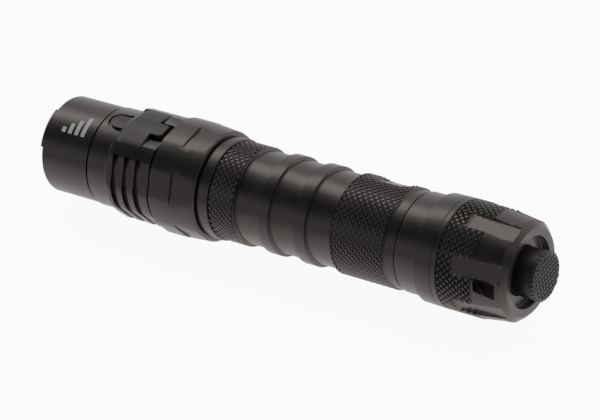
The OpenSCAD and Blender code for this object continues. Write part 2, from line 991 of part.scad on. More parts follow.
module switch_plunger() {
    foot = switch_z + button_travel + running_gap;
    color([0.85, 0.3, 0.15])
        lay()
            bore(plunger_r, foot, button_flange_z + plunger_socket);
}

module tail_button() {
    flange_r = flange_pocket_r - running_gap;
    shoulder = button_flange_z + button_flange_t;
    crown = 1.3;
    bead = 0.05;
    round_r = 0.5;
    dome = 0.15;
    color(rubber_black)
        lay()
            difference() {
                turned(concat(
                    [[button_flange_z, flange_r], [shoulder, flange_r], [shoulder, button_r],
                        [total_len - crown, button_r], [total_len - crown + bead, button_r + bead]],
                    [for (a = [0 : 22.5 : 90])
                        [total_len - dome - round_r * (1 - sin(a)),
                            button_r + bead - round_r * (1 - cos(a))]],
                    [[total_len, button_r - 2 * round_r]]));
                bore(plunger_r + o_ring_play, button_flange_z - over, button_flange_z + plunger_socket);
            }
}

bezel();
bezel_o_ring();
lens_seal();
lens();
reflector();
led_gasket();
led_emitter();
led_board();
led_leads();
head_body();
cover_strap();
port_cover();
charge_socket();
charge_tongue();
charge_board();
driver_components();
driver_board();
driver_retaining_ring();
front_contact();
battery_tube();
front_o_ring();
rear_o_ring();
cell_positive_cap();
cell_top_ring();
cell_can();
cell_wrapper();
tail_cap();
tail_spring();
switch_board();
switch_retaining_ring();
switch_spacer();
switch_body();
switch_spring();
switch_plunger();
tail_button();
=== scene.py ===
"""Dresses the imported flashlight: machined and knurled shells, rubber, optics, and a white studio."""

import json
from math import cos, pi, radians, sin

import bmesh
import bpy
import numpy as np
from mathutils import Matrix, Vector


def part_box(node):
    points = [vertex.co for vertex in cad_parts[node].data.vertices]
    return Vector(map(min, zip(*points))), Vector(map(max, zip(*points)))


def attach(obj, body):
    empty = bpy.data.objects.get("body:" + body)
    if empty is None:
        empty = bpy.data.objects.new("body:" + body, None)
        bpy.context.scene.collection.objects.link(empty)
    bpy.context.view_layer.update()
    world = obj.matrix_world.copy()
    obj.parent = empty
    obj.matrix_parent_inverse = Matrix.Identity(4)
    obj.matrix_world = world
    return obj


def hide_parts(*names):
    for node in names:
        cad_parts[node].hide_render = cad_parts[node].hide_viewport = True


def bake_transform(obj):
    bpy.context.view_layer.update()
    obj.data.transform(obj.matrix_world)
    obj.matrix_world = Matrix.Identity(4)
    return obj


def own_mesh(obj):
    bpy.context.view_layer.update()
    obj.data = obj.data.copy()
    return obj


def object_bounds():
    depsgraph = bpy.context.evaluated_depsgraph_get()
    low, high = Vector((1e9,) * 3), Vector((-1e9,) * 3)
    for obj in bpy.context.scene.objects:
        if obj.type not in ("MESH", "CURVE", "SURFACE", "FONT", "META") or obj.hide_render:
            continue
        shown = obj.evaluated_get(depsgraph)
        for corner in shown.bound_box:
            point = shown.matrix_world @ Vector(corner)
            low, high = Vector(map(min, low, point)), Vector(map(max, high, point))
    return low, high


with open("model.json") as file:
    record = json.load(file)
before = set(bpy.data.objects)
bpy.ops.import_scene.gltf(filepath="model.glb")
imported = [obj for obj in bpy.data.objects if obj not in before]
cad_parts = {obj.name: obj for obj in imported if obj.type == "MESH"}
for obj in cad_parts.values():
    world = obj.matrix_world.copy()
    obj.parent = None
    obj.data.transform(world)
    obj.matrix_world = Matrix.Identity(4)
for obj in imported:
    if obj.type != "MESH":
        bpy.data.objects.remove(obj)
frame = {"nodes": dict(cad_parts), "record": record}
cad_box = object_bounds()
nodes = frame["nodes"]

MM = 0.001
TURN = 2 * pi

# Stations run from the bezel's tooth tips (0) to the tail button, in millimetres, as Z below.
# Angles run round the axis from straight up (0) towards +Y.
FRONT_X = cad_box[1][0] / MM
AXIS_HEIGHT = (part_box("battery_tube")[0][2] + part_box("battery_tube")[1][2]) / 2 / MM


def span(node):
    """First and last station of a CAD node."""
    low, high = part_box(node)
    return FRONT_X - high[0] / MM, FRONT_X - low[0] / MM


def radius(node):
    """Largest radius of a CAD node that is round about the axis."""
    low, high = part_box(node)
    return (high[1] - low[1]) / 2 / MM


def place(z, r, angle):
    """World coordinates, in metres, of points given by station, radius and angle."""
    z, r, angle = np.broadcast_arrays(z, r, angle)
    across = r * np.sin(angle)
    up = AXIS_HEIGHT + r * np.cos(angle)
    return np.stack([FRONT_X - z, across, up], axis=-1) * MM


def smooth(t):
    """Soft step from 0 to 1."""
    t = np.clip(t, 0, 1)
    return t * t * (3 - 2 * t)


# Materials

def new_material(name):
    material = bpy.data.materials.new(name)
    material.use_nodes = True
    tree = material.node_tree
    return material, tree, tree.nodes["Principled BSDF"]


def add(tree, kind, inputs=None, **settings):
    """A node with its settings and the values or links of its inputs."""
    node = tree.nodes.new(kind)
    for key, value in settings.items():
        setattr(node, key, value)
    for key, value in (inputs or {}).items():
        if isinstance(value, bpy.types.NodeSocket):
            tree.links.new(value, node.inputs[key])
        else:
            node.inputs[key].default_value = value
    return node


def noise(tree, where, scale, detail=4, roughness=0.55):
    """Noise in object space, with a scale in cycles per millimetre."""
    inputs = {"Vector": where, "Scale": scale / MM, "Detail": detail, "Roughness": roughness}
    return add(tree, "ShaderNodeTexNoise", inputs).outputs["Fac"]


def remap(tree, value, from_low, from_high, to_low, to_high):
    inputs = {"Value": value, "From Min": from_low, "From Max": from_high,
              "To Min": to_low, "To Max": to_high}
    return add(tree, "ShaderNodeMapRange", inputs).outputs["Result"]


def blend_colours(tree, factor, a, b):
    node = add(tree, "ShaderNodeMix", None, data_type="RGBA")
    for socket, value in zip((node.inputs[0], node.inputs[6], node.inputs[7]), (factor, a, b)):
        if isinstance(value, bpy.types.NodeSocket):
            tree.links.new(value, socket)
        else:
            socket.default_value = value
    return node.outputs[2]


def grey(level, warm=0.0):
    return (level * (1 + warm), level, level * (1 - warm), 1)


def maths(tree, operation, a, b=0.0):
    return add(tree, "ShaderNodeMath", {0: a, 1: b}, operation=operation).outputs[0]


CLOUD = (0.3, 0.7)
RELIEF_STRENGTH = 0.25


def surface(name, colours, rough, grain, metallic=0.0, **sockets):
    """A finish whose colour, roughness and relief vary; grain is the cycles per millimetre of the
    coarse and the fine noise and the height of the relief in millimetres."""
    material, tree, shader = new_material(name)
    coarse, fine, height = grain
    where = add(tree, "ShaderNodeTexCoord").outputs["Object"]
    cloud = noise(tree, where, coarse)
    colour = blend_colours(tree, remap(tree, cloud, *CLOUD, 0, 1), *colours)
    tree.links.new(colour, shader.inputs["Base Color"])
    tree.links.new(remap(tree, cloud, *CLOUD, *rough), shader.inputs["Roughness"])
    grit = noise(tree, where, fine, detail=2)
    relief = {"Height": grit, "Strength": RELIEF_STRENGTH, "Distance": height * MM}
    bump = add(tree, "ShaderNodeBump", relief)
    tree.links.new(bump.outputs["Normal"], shader.inputs["Normal"])
    shader.inputs["Metallic"].default_value = metallic
    for key, value in sockets.items():
        shader.inputs[key.replace("_", " ")].default_value = value
    return material


def marked(material, colour, mark, metallic=0.0):
    """Lays a second colour over a finish where the mark, made from X, Y and Z, is 1."""
    tree = material.node_tree
    shader = tree.nodes["Principled BSDF"]
    under = shader.inputs["Base Color"].links[0].from_socket
    where = add(tree, "ShaderNodeTexCoord").outputs["Object"]
    factor = mark(tree, add(tree, "ShaderNodeSeparateXYZ", {0: where}).outputs)
    tree.links.new(blend_colours(tree, factor, under, colour), shader.inputs["Base Color"])
    tree.links.new(remap(tree, factor, 0, 1, 0, metallic), shader.inputs["Metallic"])
    return material


# Emitter: a yellow dome on a white package
DOME_R = 1.3


def off_dome(tree, spot):
    """1 outside the emitter's dome."""
    above = maths(tree, "SUBTRACT", spot["Z"], AXIS_HEIGHT * MM)
    squares = [maths(tree, "MULTIPLY", value, value) for value in (spot["Y"], above)]
    return maths(tree, "GREATER_THAN", maths(tree, "ADD", *squares), (DOME_R * MM) ** 2)


# Contacts of the charging socket, side by side on its tongue
CONTACT_PITCH = 0.5
CONTACT_SHARE = 0.56


def on_contact(tree, spot):
    """1 on the gold contacts."""
    share = maths(tree, "FRACT", maths(tree, "DIVIDE", spot["Y"], CONTACT_PITCH * MM))
    return maths(tree, "LESS_THAN", share, CONTACT_SHARE)


anodised = surface("anodised_black", (grey(0.0045, 0.1), grey(0.0065, 0.1)), rough=(0.27, 0.33),
                   grain=(0.15, 9, 0.02), IOR=2.0, Specular_Tint=(1.0, 0.9, 0.86, 1))
rubber = surface("moulded_rubber", (grey(0.010, 0.08), grey(0.014, 0.08)), rough=(0.36, 0.44),
                 grain=(0.3, 5, 0.03), IOR=1.75, Specular_Tint=(1.0, 0.92, 0.88, 1))
steel = surface("nickel_plate", (grey(0.62), grey(0.70)), rough=(0.22, 0.3),
                grain=(0.2, 6, 0.006), metallic=1.0)
GOLD = (0.84, 0.62, 0.29, 1)
brass = surface("gold_plate", ((0.78, 0.56, 0.24, 1), GOLD), rough=(0.2, 0.3),
                grain=(0.2, 6, 0.006), metallic=1.0)
copper = surface("bare_copper", ((0.75, 0.36, 0.2, 1), (0.82, 0.42, 0.25, 1)), rough=(0.25, 0.38),
                 grain=(0.3, 6, 0.006), metallic=1.0)
mirror = surface("mirror_coating", (grey(0.88), grey(0.91)), rough=(0.04, 0.08),
                 grain=(0.2, 2, 0.004), metallic=1.0)
white_plastic = surface("white_plastic", (grey(0.72, 0.01), grey(0.78, 0.01)), rough=(0.38, 0.46),
                        grain=(0.4, 6, 0.006))
dark_plastic = surface("dark_plastic", (grey(0.030), grey(0.045)), rough=(0.4, 0.5),
                       grain=(0.4, 6, 0.01))
tongue = marked(surface("socket_tongue", (grey(0.030), grey(0.045)), rough=(0.3, 0.4),
                        grain=(0.4, 6, 0.01)), GOLD, on_contact, metallic=1.0)
board = surface("circuit_board", ((0.012, 0.085, 0.045, 1), (0.02, 0.12, 0.06, 1)),
                rough=(0.3, 0.4), grain=(0.5, 3, 0.01))
wire = surface("wire_sleeve", ((0.42, 0.025, 0.02, 1), (0.5, 0.035, 0.03, 1)), rough=(0.4, 0.5),
               grain=(0.4, 5, 0.006))
wrapper = surface("cell_wrapper", ((0.03, 0.13, 0.32, 1), (0.04, 0.16, 0.37, 1)),
                  rough=(0.24, 0.34), grain=(0.2, 2, 0.01))
plunger = surface("switch_plunger", ((0.55, 0.09, 0.03, 1), (0.62, 0.12, 0.045, 1)),
                  rough=(0.36, 0.46), grain=(0.3, 5, 0.006))
ink = surface("white_ink", (grey(0.74), grey(0.82)), rough=(0.5, 0.6), grain=(0.8, 8, 0.006))
emitter = marked(surface("phosphor", ((0.78, 0.62, 0.10, 1), (0.86, 0.70, 0.16, 1)),
                         rough=(0.4, 0.5), grain=(1.0, 12, 0.01)), grey(0.80), off_dome)
glass = surface("coated_glass", ((0.95, 0.97, 1.0, 1), (0.97, 0.98, 1.0, 1)), rough=(0.0, 0.02),
                grain=(0.1, 1, 0.001), Transmission_Weight=1.0, IOR=1.5)

FINISH = {
    "anodised": anodised, "rubber": rubber, "glass": glass, "mirror": mirror,
    "white_plastic": white_plastic, "emitter": emitter, "copper": copper, "wire": wire,
    "steel": steel, "dark_plastic": dark_plastic, "circuit_board": board, "brass": brass,
    "wrapper": wrapper, "plunger": plunger,
}


# Mesh pieces; edges that bend by more than this many degrees stay sharp
SHARP = 30


def adopt(name, mesh, material, body, stands_for=(), sharp=SHARP):
    """Makes a piece of a finished mesh and lets it ride on a body."""
    mesh.update()
    mesh.shade_smooth()
    mesh.set_sharp_from_angle(angle=radians(sharp))
    mesh.materials.append(material)
    piece = bpy.data.objects.new(name, mesh)
    bpy.context.scene.collection.objects.link(piece)
    if stands_for:
        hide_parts(*stands_for)
    if body:
        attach(piece, body)
    return piece


def finish_mesh(name, points, faces, material, body, stands_for=(), sharp=SHARP):
    """A piece from points and faces."""
    mesh = bpy.data.meshes.new(name)
    mesh.from_pydata(points, [], faces)
    mesh.validate()
    return adopt(name, mesh, material, body, stands_for, sharp)


SAME_R = 1e-6


def revolve(name, angles, rows, material, body, stands_for):
    """Closed skin over rings of stations and radii, each cell split along its flatter diagonal."""
    count = len(angles)
    z = np.array([np.broadcast_to(row[0], count) for row in rows], float)
    r = np.array([np.broadcast_to(row[1], count) for row in rows], float)
    points = place(z, r, angles).reshape(-1, 3)
    i, j = np.meshgrid(np.arange(len(rows)), np.arange(count), indexing="ij")
    i2 = (i + 1) % len(rows)
    j2 = (j + 1) % count
    a, b, c, d = i * count + j, i * count + j2, i2 * count + j2, i2 * count + j
    first = np.abs(r.reshape(-1)[a] - r.reshape(-1)[c])
    second = np.abs(r.reshape(-1)[b] - r.reshape(-1)[d])
    flat = np.abs(first - second) < SAME_R
    along = (first < second) & ~flat
    quads = np.stack([a, b, c, d], -1)[flat].tolist()
    tris = []
    for corners, mask in (((a, b, c), along), ((a, c, d), along),
                          ((a, b, d), ~along & ~flat), ((b, c, d), ~along & ~flat)):
        tris += np.stack(corners, -1)[mask].tolist()
    return finish_mesh(name, points.tolist(), quads + tris, material, body, stands_for)


def even_angles(count):
    return np.arange(count) * TURN / count


CORNER_SHARE = 0.45
GENTLE_BEND = radians(12)
ARC_STEPS = 4


def rounded(profile, r):
    """Breaks the corners of a station and radius outline with small arcs."""
    points = [np.array(p, float) for p in profile]
    out = [tuple(points[0])]
    for before, corner, after in zip(points, points[1:], points[2:]):
        u, v = before - corner, after - corner
        lu, lv = np.linalg.norm(u), np.linalg.norm(v)
        u, v = u / lu, v / lv
        reach = min(r, lu * CORNER_SHARE, lv * CORNER_SHARE)
        bend = np.arccos(np.clip(u @ v, -1, 1))
        if pi - bend < GENTLE_BEND:
            out.append(tuple(corner))
            continue
        for t in np.linspace(0, 1, ARC_STEPS + 1):
            out.append(tuple(corner + u * reach * (1 - t) ** 2 + v * reach * t ** 2))
    out.append(tuple(points[-1]))
    return out


# Knurl: two families of V grooves at about 45 degrees that leave flat-topped diamonds
KNURL_PITCH = 1.61
KNURL_DEPTH = 0.36
KNURL_GROOVE = 0.25
KNURL_CELL = 8


def knurl_depth(z, angles, around):
    """Depth below the grip at stations z for a row of angles."""
    turn = angles * around / TURN
    depth = 0
    for side in (1, -1):
        phase = turn + side * z / KNURL_PITCH
        off = np.abs(phase - np.round(phase))
        depth = np.maximum(depth, np.clip(1 - off / KNURL_GROOVE, 0, 1))
    return KNURL_DEPTH * depth


def knurl_rows(z0, z1, r, angles, around):
    """Rings of a knurled band that is cut into radius r."""
    step = KNURL_PITCH / KNURL_CELL
    stations = np.arange(np.ceil(z0 / step), np.floor(z1 / step) + 1) * step
    return [(z, r - knurl_depth(z, angles, around)) for z in stations]


# Battery tube
BORE_R = 9.35
SPIGOT_R = 10.75
SPIGOT_LEAD = 0.4
GROOVE_FLOOR_R = 10.1
GROOVE_STATIONS = (0.6, 2.0)
GRIP_R = 11.85
COLLAR_LIFT = 0.35
WAIST_R = 11.1
TUBE_KNURLS = 45
TUBE_Z = 47.2
RIDGES = (57.4, 67.1, 77.2)
BAND_1 = (50.2, 57.1)
BAND_2 = (84.4, 98.3)
BAND_LIP = 0.1
PANEL_ANGLE = radians(-42.5)
PANEL_Z = (87.0, 96.3)
PANEL_DEPTH = 0.8
PANEL_CORNER = 3.0
PANEL_SIDE = pi / 4
RIDGE_4 = 98.5
RIDGE_STEP = 0.15
WAIST_LEN = 6.5
BEVEL_LEN = 0.3
NOTCH_DROP = 0.4
NOTCH_R = GRIP_R - NOTCH_DROP
SHELF_DROP = 0.17
SHELF_R = GRIP_R - SHELF_DROP
LINE_INSET = 2.6
LINE_W = 0.5
LINE_DEPTH = 0.3
TAIL_SEAM = span("tail_cap")[0]
TAIL_R = radius("tail_cap")
TAIL_COLLAR_LEN = 4.5
TAIL_COLLAR_CHAMFER = 0.4
TAIL_COLLAR_DROP = 0.1
SEAM_GAP = 0.05
FRONT_EDGE = 0.2
MIDDLE_EDGE = 0.1
BACK_EDGE = 0.12
END_DROP = 0.55
THREAD_PITCH = 1.0
THREAD_DEPTH = 0.4
THREAD_STEPS = 6
THREAD_MARGIN = 0.2
THREAD_FLANK = 1.3
THREAD_CREST = 0.15
THREAD_FADE = 0.3


def scallop(z):
    """A step down from the ridge at z, the low part and the bevel back up."""
    return [(z, GRIP_R), (z + RIDGE_STEP, WAIST_R), (z + WAIST_LEN, WAIST_R),
            (z + WAIST_LEN + BEVEL_LEN, GRIP_R)]


def panel(z, r, angles):
    """Mills a flat panel with rounded corners into the rear grip."""
    off = (angles - PANEL_ANGLE + pi) % TURN - pi
    floor = GRIP_R - PANEL_DEPTH
    reach = np.sqrt(GRIP_R ** 2 - floor ** 2)
    half = (PANEL_Z[1] - PANEL_Z[0]) / 2
    along = np.clip(np.abs(z - PANEL_Z[0] - half) - half + PANEL_CORNER, 0, None)
    across = np.clip(np.abs(r * np.sin(off)) - reach + PANEL_CORNER, 0, None)
    inside = (np.hypot(along, across) < PANEL_CORNER) & (np.abs(off) < PANEL_SIDE)
    return np.where(inside, np.minimum(r, floor / np.cos(off)), r)


def tube_shell():
    angles = even_angles(TUBE_KNURLS * KNURL_CELL)
    tube_front, tube_rear = span("battery_tube")
    groove_r = GRIP_R - KNURL_DEPTH
    collar_r = GRIP_R + COLLAR_LIFT
    front = rounded([
        (tube_front, BORE_R), (tube_front, SPIGOT_R - SPIGOT_LEAD),
        (tube_front + SPIGOT_LEAD, SPIGOT_R), (TUBE_Z, SPIGOT_R), (TUBE_Z, collar_r),
        (BAND_1[0] - BAND_LIP, collar_r), (BAND_1[0], groove_r)], FRONT_EDGE)
    middle = [(BAND_1[1], groove_r), (BAND_1[1] + BAND_LIP, GRIP_R)]
    for z in RIDGES:
        middle += scallop(z)
    middle += [(BAND_2[0] - BAND_LIP, GRIP_R), (BAND_2[0], groove_r)]
    line_z = RIDGE_4 + LINE_INSET
    collar_z = TAIL_SEAM - TAIL_COLLAR_LEN
    groove_z0, groove_z1 = (TAIL_SEAM + station for station in GROOVE_STATIONS)
    back = rounded([
        (BAND_2[1], groove_r), (BAND_2[1] + BAND_LIP, GRIP_R), (RIDGE_4, GRIP_R),
        (RIDGE_4 + RIDGE_STEP, NOTCH_R), (line_z, NOTCH_R), (line_z, NOTCH_R - LINE_DEPTH),
        (line_z + LINE_W, NOTCH_R - LINE_DEPTH), (line_z + LINE_W, SHELF_R),
        (collar_z - TAIL_COLLAR_CHAMFER, SHELF_R), (collar_z, TAIL_R - TAIL_COLLAR_DROP),
        (TAIL_SEAM - SEAM_GAP, TAIL_R), (TAIL_SEAM - SEAM_GAP, SPIGOT_R),
        (groove_z0, SPIGOT_R), (groove_z0, GROOVE_FLOOR_R), (groove_z1, GROOVE_FLOOR_R),
        (groove_z1, SPIGOT_R)], BACK_EDGE)
    rows = front
    rows += knurl_rows(*BAND_1, GRIP_R, angles, TUBE_KNURLS)
    rows += rounded(middle, MIDDLE_EDGE)
    rows += [(z, panel(z, r, angles)) for z, r in knurl_rows(*BAND_2, GRIP_R, angles, TUBE_KNURLS)]
    rows += back
    rows += thread_rows(groove_z1 + THREAD_MARGIN, tube_rear - THREAD_MARGIN, angles)
    rows += [(tube_rear, SPIGOT_R - END_DROP), (tube_rear, BORE_R)]
    return revolve("tube_shell", angles, rows, anodised, "light", ["battery_tube"])


def thread_rows(z0, z1, angles):
    """Rings of a screw thread that fades in at its front end."""
    rows = []
    for z in np.arange(z0, z1, THREAD_PITCH / THREAD_STEPS):
        phase = z / THREAD_PITCH + angles / TURN
        off = np.abs(phase - np.round(phase)) * 2
        depth = THREAD_DEPTH * np.clip(THREAD_FLANK * (1 - off) - THREAD_CREST, 0, 1)
        fade = smooth((z - z0) / THREAD_FADE)
        rows.append((z, SPIGOT_R - depth * fade))
    return rows


# Tail cap
TAIL_KNURLS = 50
BAND_3 = (112.8, 121.7)
GRIP_END = 121.9
GRIP_STEP = 0.2
TAPER_DROP = 1.05
TAIL_CHAMFER = 1.4
END_FACE_R = 10.2
RECESS_R = 8.35
RECESS_DEPTH = 2.0
BUTTON_HOLE_R = 5.8
END_WALL = 2.1
FLANGE_POCKET = (121.6, 7.5)
SWITCH_POCKET = (116.5, 9.6)
POCKET_COUNT = 7
POCKET_FIRST = radians(5)
POCKET_W = 4.3
POCKET_DEPTH = 0.9
POCKET_SETBACK = 7.3
POCKET_Z = TAIL_SEAM + POCKET_SETBACK
POCKET_TILT = radians(3.6)
POCKET_CUTTER_R = 4.0
POCKET_EDGE = 0.12
EDGE_LINES = (-1.05, -0.4, 0.4, 1.05)
LINE_CLEARANCE = radians(0.3)
SEAM_EDGE = 0.2
INNER_EDGE = 0.15
THREAD_GAP = 0.1
BORE_MOUTH = 0.3
TAPER_ROWS = 28
CHAMFER_ROWS = 9
LANYARD_ANGLE = radians(107.5)
LANYARD_Z = (122.4, 127.5)
LANYARD_HEIGHT = (8.75, 10.95)
LANYARD_CORNER = 0.35
LANYARD_REACH = 20


def tail_outside(z, tail_end):
    """Radius of the tail cap before the pockets are milled."""
    taper_end = tail_end - TAIL_CHAMFER
    stations = (GRIP_END, taper_end, tail_end)
    return np.interp(z, stations, (TAIL_R - GRIP_STEP, TAIL_R - TAPER_DROP, END_FACE_R))


def pocket_floor(z):
    """Height of the pockets' floor over the axis."""
    floor = TAIL_R - POCKET_DEPTH - (z - POCKET_Z) * np.tan(POCKET_TILT)
    ahead = np.clip(POCKET_Z - z, 0, POCKET_CUTTER_R)
    return floor + POCKET_CUTTER_R - np.sqrt(POCKET_CUTTER_R ** 2 - ahead ** 2)


def milled(z, r, angles):
    """Lowers radii to the floors of the pockets, with softly broken edges."""
    step = TURN / POCKET_COUNT
    off = (angles - POCKET_FIRST + step / 2) % step - step / 2
    floor = pocket_floor(z) / np.cos(off)
    across = np.abs(r * np.sin(off))
    inside = smooth((POCKET_W / 2 + POCKET_EDGE - across) / (2 * POCKET_EDGE))
    return r - inside * np.maximum(r - floor, 0)


def tail_angles():
    """Even lines for the knurl, with lines along the pockets' edges put in their place."""
    even = even_angles(TAIL_KNURLS * KNURL_CELL)
    step = TURN / POCKET_COUNT
    edge_r = TAIL_R - POCKET_DEPTH
    edges = []
    for k in range(POCKET_COUNT):
        for side in (-1, 1):
            for part in EDGE_LINES:
                across = POCKET_W / 2 + part * POCKET_EDGE
                edges.append((POCKET_FIRST + k * step + side * np.arcsin(across / edge_r)) % TURN)
    edges = np.array(edges)
    gap = np.abs((even[:, None] - edges[None] + pi) % TURN - pi).min(axis=1)
    return np.sort(np.concatenate([even[gap > LINE_CLEARANCE], edges]))


def tail_shell():
    angles = tail_angles()
    tail_end = span("tail_cap")[1]
    thread_bore_r = SPIGOT_R + THREAD_GAP
    recess_floor = tail_end - RECESS_DEPTH
    end_wall_z = recess_floor - END_WALL
    rows = rounded([(TAIL_SEAM, thread_bore_r), (TAIL_SEAM, TAIL_R),
                    (BAND_3[0] - BAND_LIP, TAIL_R), (BAND_3[0], TAIL_R - KNURL_DEPTH)], SEAM_EDGE)
    grip = knurl_rows(*BAND_3, TAIL_R, angles, TAIL_KNURLS)
    grip.append((BAND_3[1], TAIL_R - KNURL_DEPTH))
    taper = np.linspace(GRIP_END, tail_end - TAIL_CHAMFER, TAPER_ROWS)
    chamfer = np.linspace(tail_end - TAIL_CHAMFER, tail_end, CHAMFER_ROWS)[1:]
    grip += [(z, tail_outside(z, tail_end)) for z in np.concatenate([taper, chamfer])]
    rows += [(z, milled(z, np.broadcast_to(r, len(angles)), angles)) for z, r in grip]
    rows += rounded([
        (tail_end, (END_FACE_R + RECESS_R) / 2), (tail_end, RECESS_R), (recess_floor, RECESS_R),
        (recess_floor, BUTTON_HOLE_R), (end_wall_z, BUTTON_HOLE_R), (end_wall_z, FLANGE_POCKET[1]),
        FLANGE_POCKET, (FLANGE_POCKET[0], SWITCH_POCKET[1]), SWITCH_POCKET,
        (SWITCH_POCKET[0], thread_bore_r), (TAIL_SEAM + BORE_MOUTH, thread_bore_r)], INNER_EDGE)
    piece = revolve("tail_shell", angles, rows, anodised, "tail", ["tail_cap"])
    drill(piece, lanyard_cutter())
    return piece


def lanyard_cutter():
    """A bar with rounded corners that lies across the tail cap."""
    z0, z1 = LANYARD_Z
    low, high = LANYARD_HEIGHT
    start = ((z0 + z1) / 2, low)
    corners = [(z1, low), (z1, high), (z0, high), (z0, low)]
    outline = rounded([start] + corners + [start], LANYARD_CORNER)[:-1]
    count = len(outline)
    points = []
    for reach in (-LANYARD_REACH, LANYARD_REACH):
        for z, height in outline:
            across = height * sin(LANYARD_ANGLE) + reach * cos(LANYARD_ANGLE)
            up = AXIS_HEIGHT + height * cos(LANYARD_ANGLE) - reach * sin(LANYARD_ANGLE)
            points.append(((FRONT_X - z) * MM, across * MM, up * MM))
    faces = [list(range(count))[::-1], list(range(count, 2 * count))]
    faces += [[k, (k + 1) % count, count + (k + 1) % count, count + k] for k in range(count)]
    mesh = bpy.data.meshes.new("lanyard_cutter")
    mesh.from_pydata(points, [], faces)
    cutter = bpy.data.objects.new("lanyard_cutter", mesh)
    bpy.context.scene.collection.objects.link(cutter)
    return cutter


def drill(piece, cutter):
    """Cuts the cutter out of the piece for good."""
    hole = piece.modifiers.new("hole", "BOOLEAN")
    hole.object = cutter
    hole.solver = "EXACT"
    evaluated = piece.evaluated_get(bpy.context.evaluated_depsgraph_get())
    mesh = bpy.data.meshes.new_from_object(evaluated)
    piece.modifiers.clear()
    piece.data = mesh
    mesh.set_sharp_from_angle(angle=radians(SHARP))
    bpy.data.objects.remove(cutter)


# Pieces that keep the CAD shape, with their edges broken
WELD = 0.002
SAME_PLANE = radians(0.4)
BROKEN_BEND = radians(25)
BROKEN_SHARP = 20
BEVEL_STEPS = 2
BEVEL_SHAPE = 0.6
FACE_REACH = 0.01


def broken_edges(node, name, width, material, body, slit, reach):
    """The CAD node's own solid with its sharp edges bevelled; a slit moves its rear end forward,
    as far as reach from its rear face."""
    bm = bmesh.new()
    bm.from_mesh(nodes[node].data)
    bmesh.ops.remove_doubles(bm, verts=bm.verts, dist=WELD * MM)
    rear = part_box(node)[0][0]
    for v in bm.verts:
        if v.co.x < rear + reach * MM:
            v.co.x += slit * MM
    bmesh.ops.dissolve_limit(bm, angle_limit=SAME_PLANE, verts=bm.verts, edges=bm.edges)
    edges = [e for e in bm.edges if len(e.link_faces) == 2 and e.calc_face_angle(0) > BROKEN_BEND]
    bmesh.ops.bevel(bm, geom=edges, offset=width * MM, segments=BEVEL_STEPS, profile=BEVEL_SHAPE,
                    affect="EDGES", clamp_overlap=True)
    bmesh.ops.triangulate(bm, faces=[f for f in bm.faces if len(f.verts) > 4])
    mesh = bpy.data.meshes.new(name)
    bm.to_mesh(mesh)
    bm.free()
    return adopt(name, mesh, material, body, [node], BROKEN_SHARP)


# Optics
MOUTH_R = 8.3
EYE_R = 2.85
REFLECTOR_RIM_R = 10.0
REFLECTOR_T = 0.5
REFLECTOR_ROOT_T = 0.6
REFLECTOR_RIM_T = 0.8
BOWL_ROWS = 40
BOWL_COLUMNS = 128


def reflector_bowl():
    """A parabola from the mouth to the eye round the emitter, with a flat rim."""
    front, back = span("reflector")
    depth = back - front
    bowl = [(front + depth * (MOUTH_R ** 2 - r * r) / (MOUTH_R ** 2 - EYE_R ** 2), r)
            for r in np.linspace(MOUTH_R, EYE_R, BOWL_ROWS)]
    outside = [(z, r + REFLECTOR_T + REFLECTOR_ROOT_T * (z - front) / depth) for z, r in bowl[::-1]]
    rim_z = front + REFLECTOR_RIM_T
    rim = [(rim_z, outside[-1][1]), (rim_z, REFLECTOR_RIM_R), (front, REFLECTOR_RIM_R)]
    return revolve("reflector_bowl", even_angles(BOWL_COLUMNS), bowl + outside[:-2] + rim, mirror,
                   "light", ["reflector"])


# Push button
BUTTON_R = 5.7
BUTTON_INSET = 0.05
BUTTON_EDGE = 0.12
BUTTON_FLANGE_T = 1.2
BUTTON_SOCKET = (2.5, 2.45)
AXIS_HOLE_R = 0.04
RIM_TEETH = 30
RIM_COLUMNS = 10
# Stations below count from the floor between the studs
BARREL_END = (-1.2, -1.05)
RIM_INSET = 0.1
# Rows of the rim: station, share of the teeth's height, and rounding towards the face
RIM_ROWS = ((-1.0, 0.0, 0), (-0.9, 0.5, 0), (-0.8, 1, 0), (-0.45, 1, 0), (-0.2, 0.9, 0.05),
            (-0.05, 0.55, 0.16), (0, 0, 0.3))
TOOTH_H = 0.15
TOOTH_SWELL = 0.05
TOOTH_SHAPE = (0.72, 0.35)
STUD_PITCH = 1.15
STUD_H = 0.28
STUD_SHAPE = (0.78, 0.3)
STUD_ROW = 0.11
FACE_EDGE = 0.55
FACE_CENTRE_R = 0.1
FACE_FADE = (0.45, 0.2)


def bumps(share, shape):
    """Soft bumps, one for each whole share; shape is their half width and the width of a flank."""
    off = np.abs(share % 1 - 0.5) * 2
    return smooth((shape[0] - off) / shape[1])


def studs(across, along):
    """Height of a square grid of soft studs."""
    return STUD_H * bumps(across / STUD_PITCH, STUD_SHAPE) * bumps(along / STUD_PITCH, STUD_SHAPE)


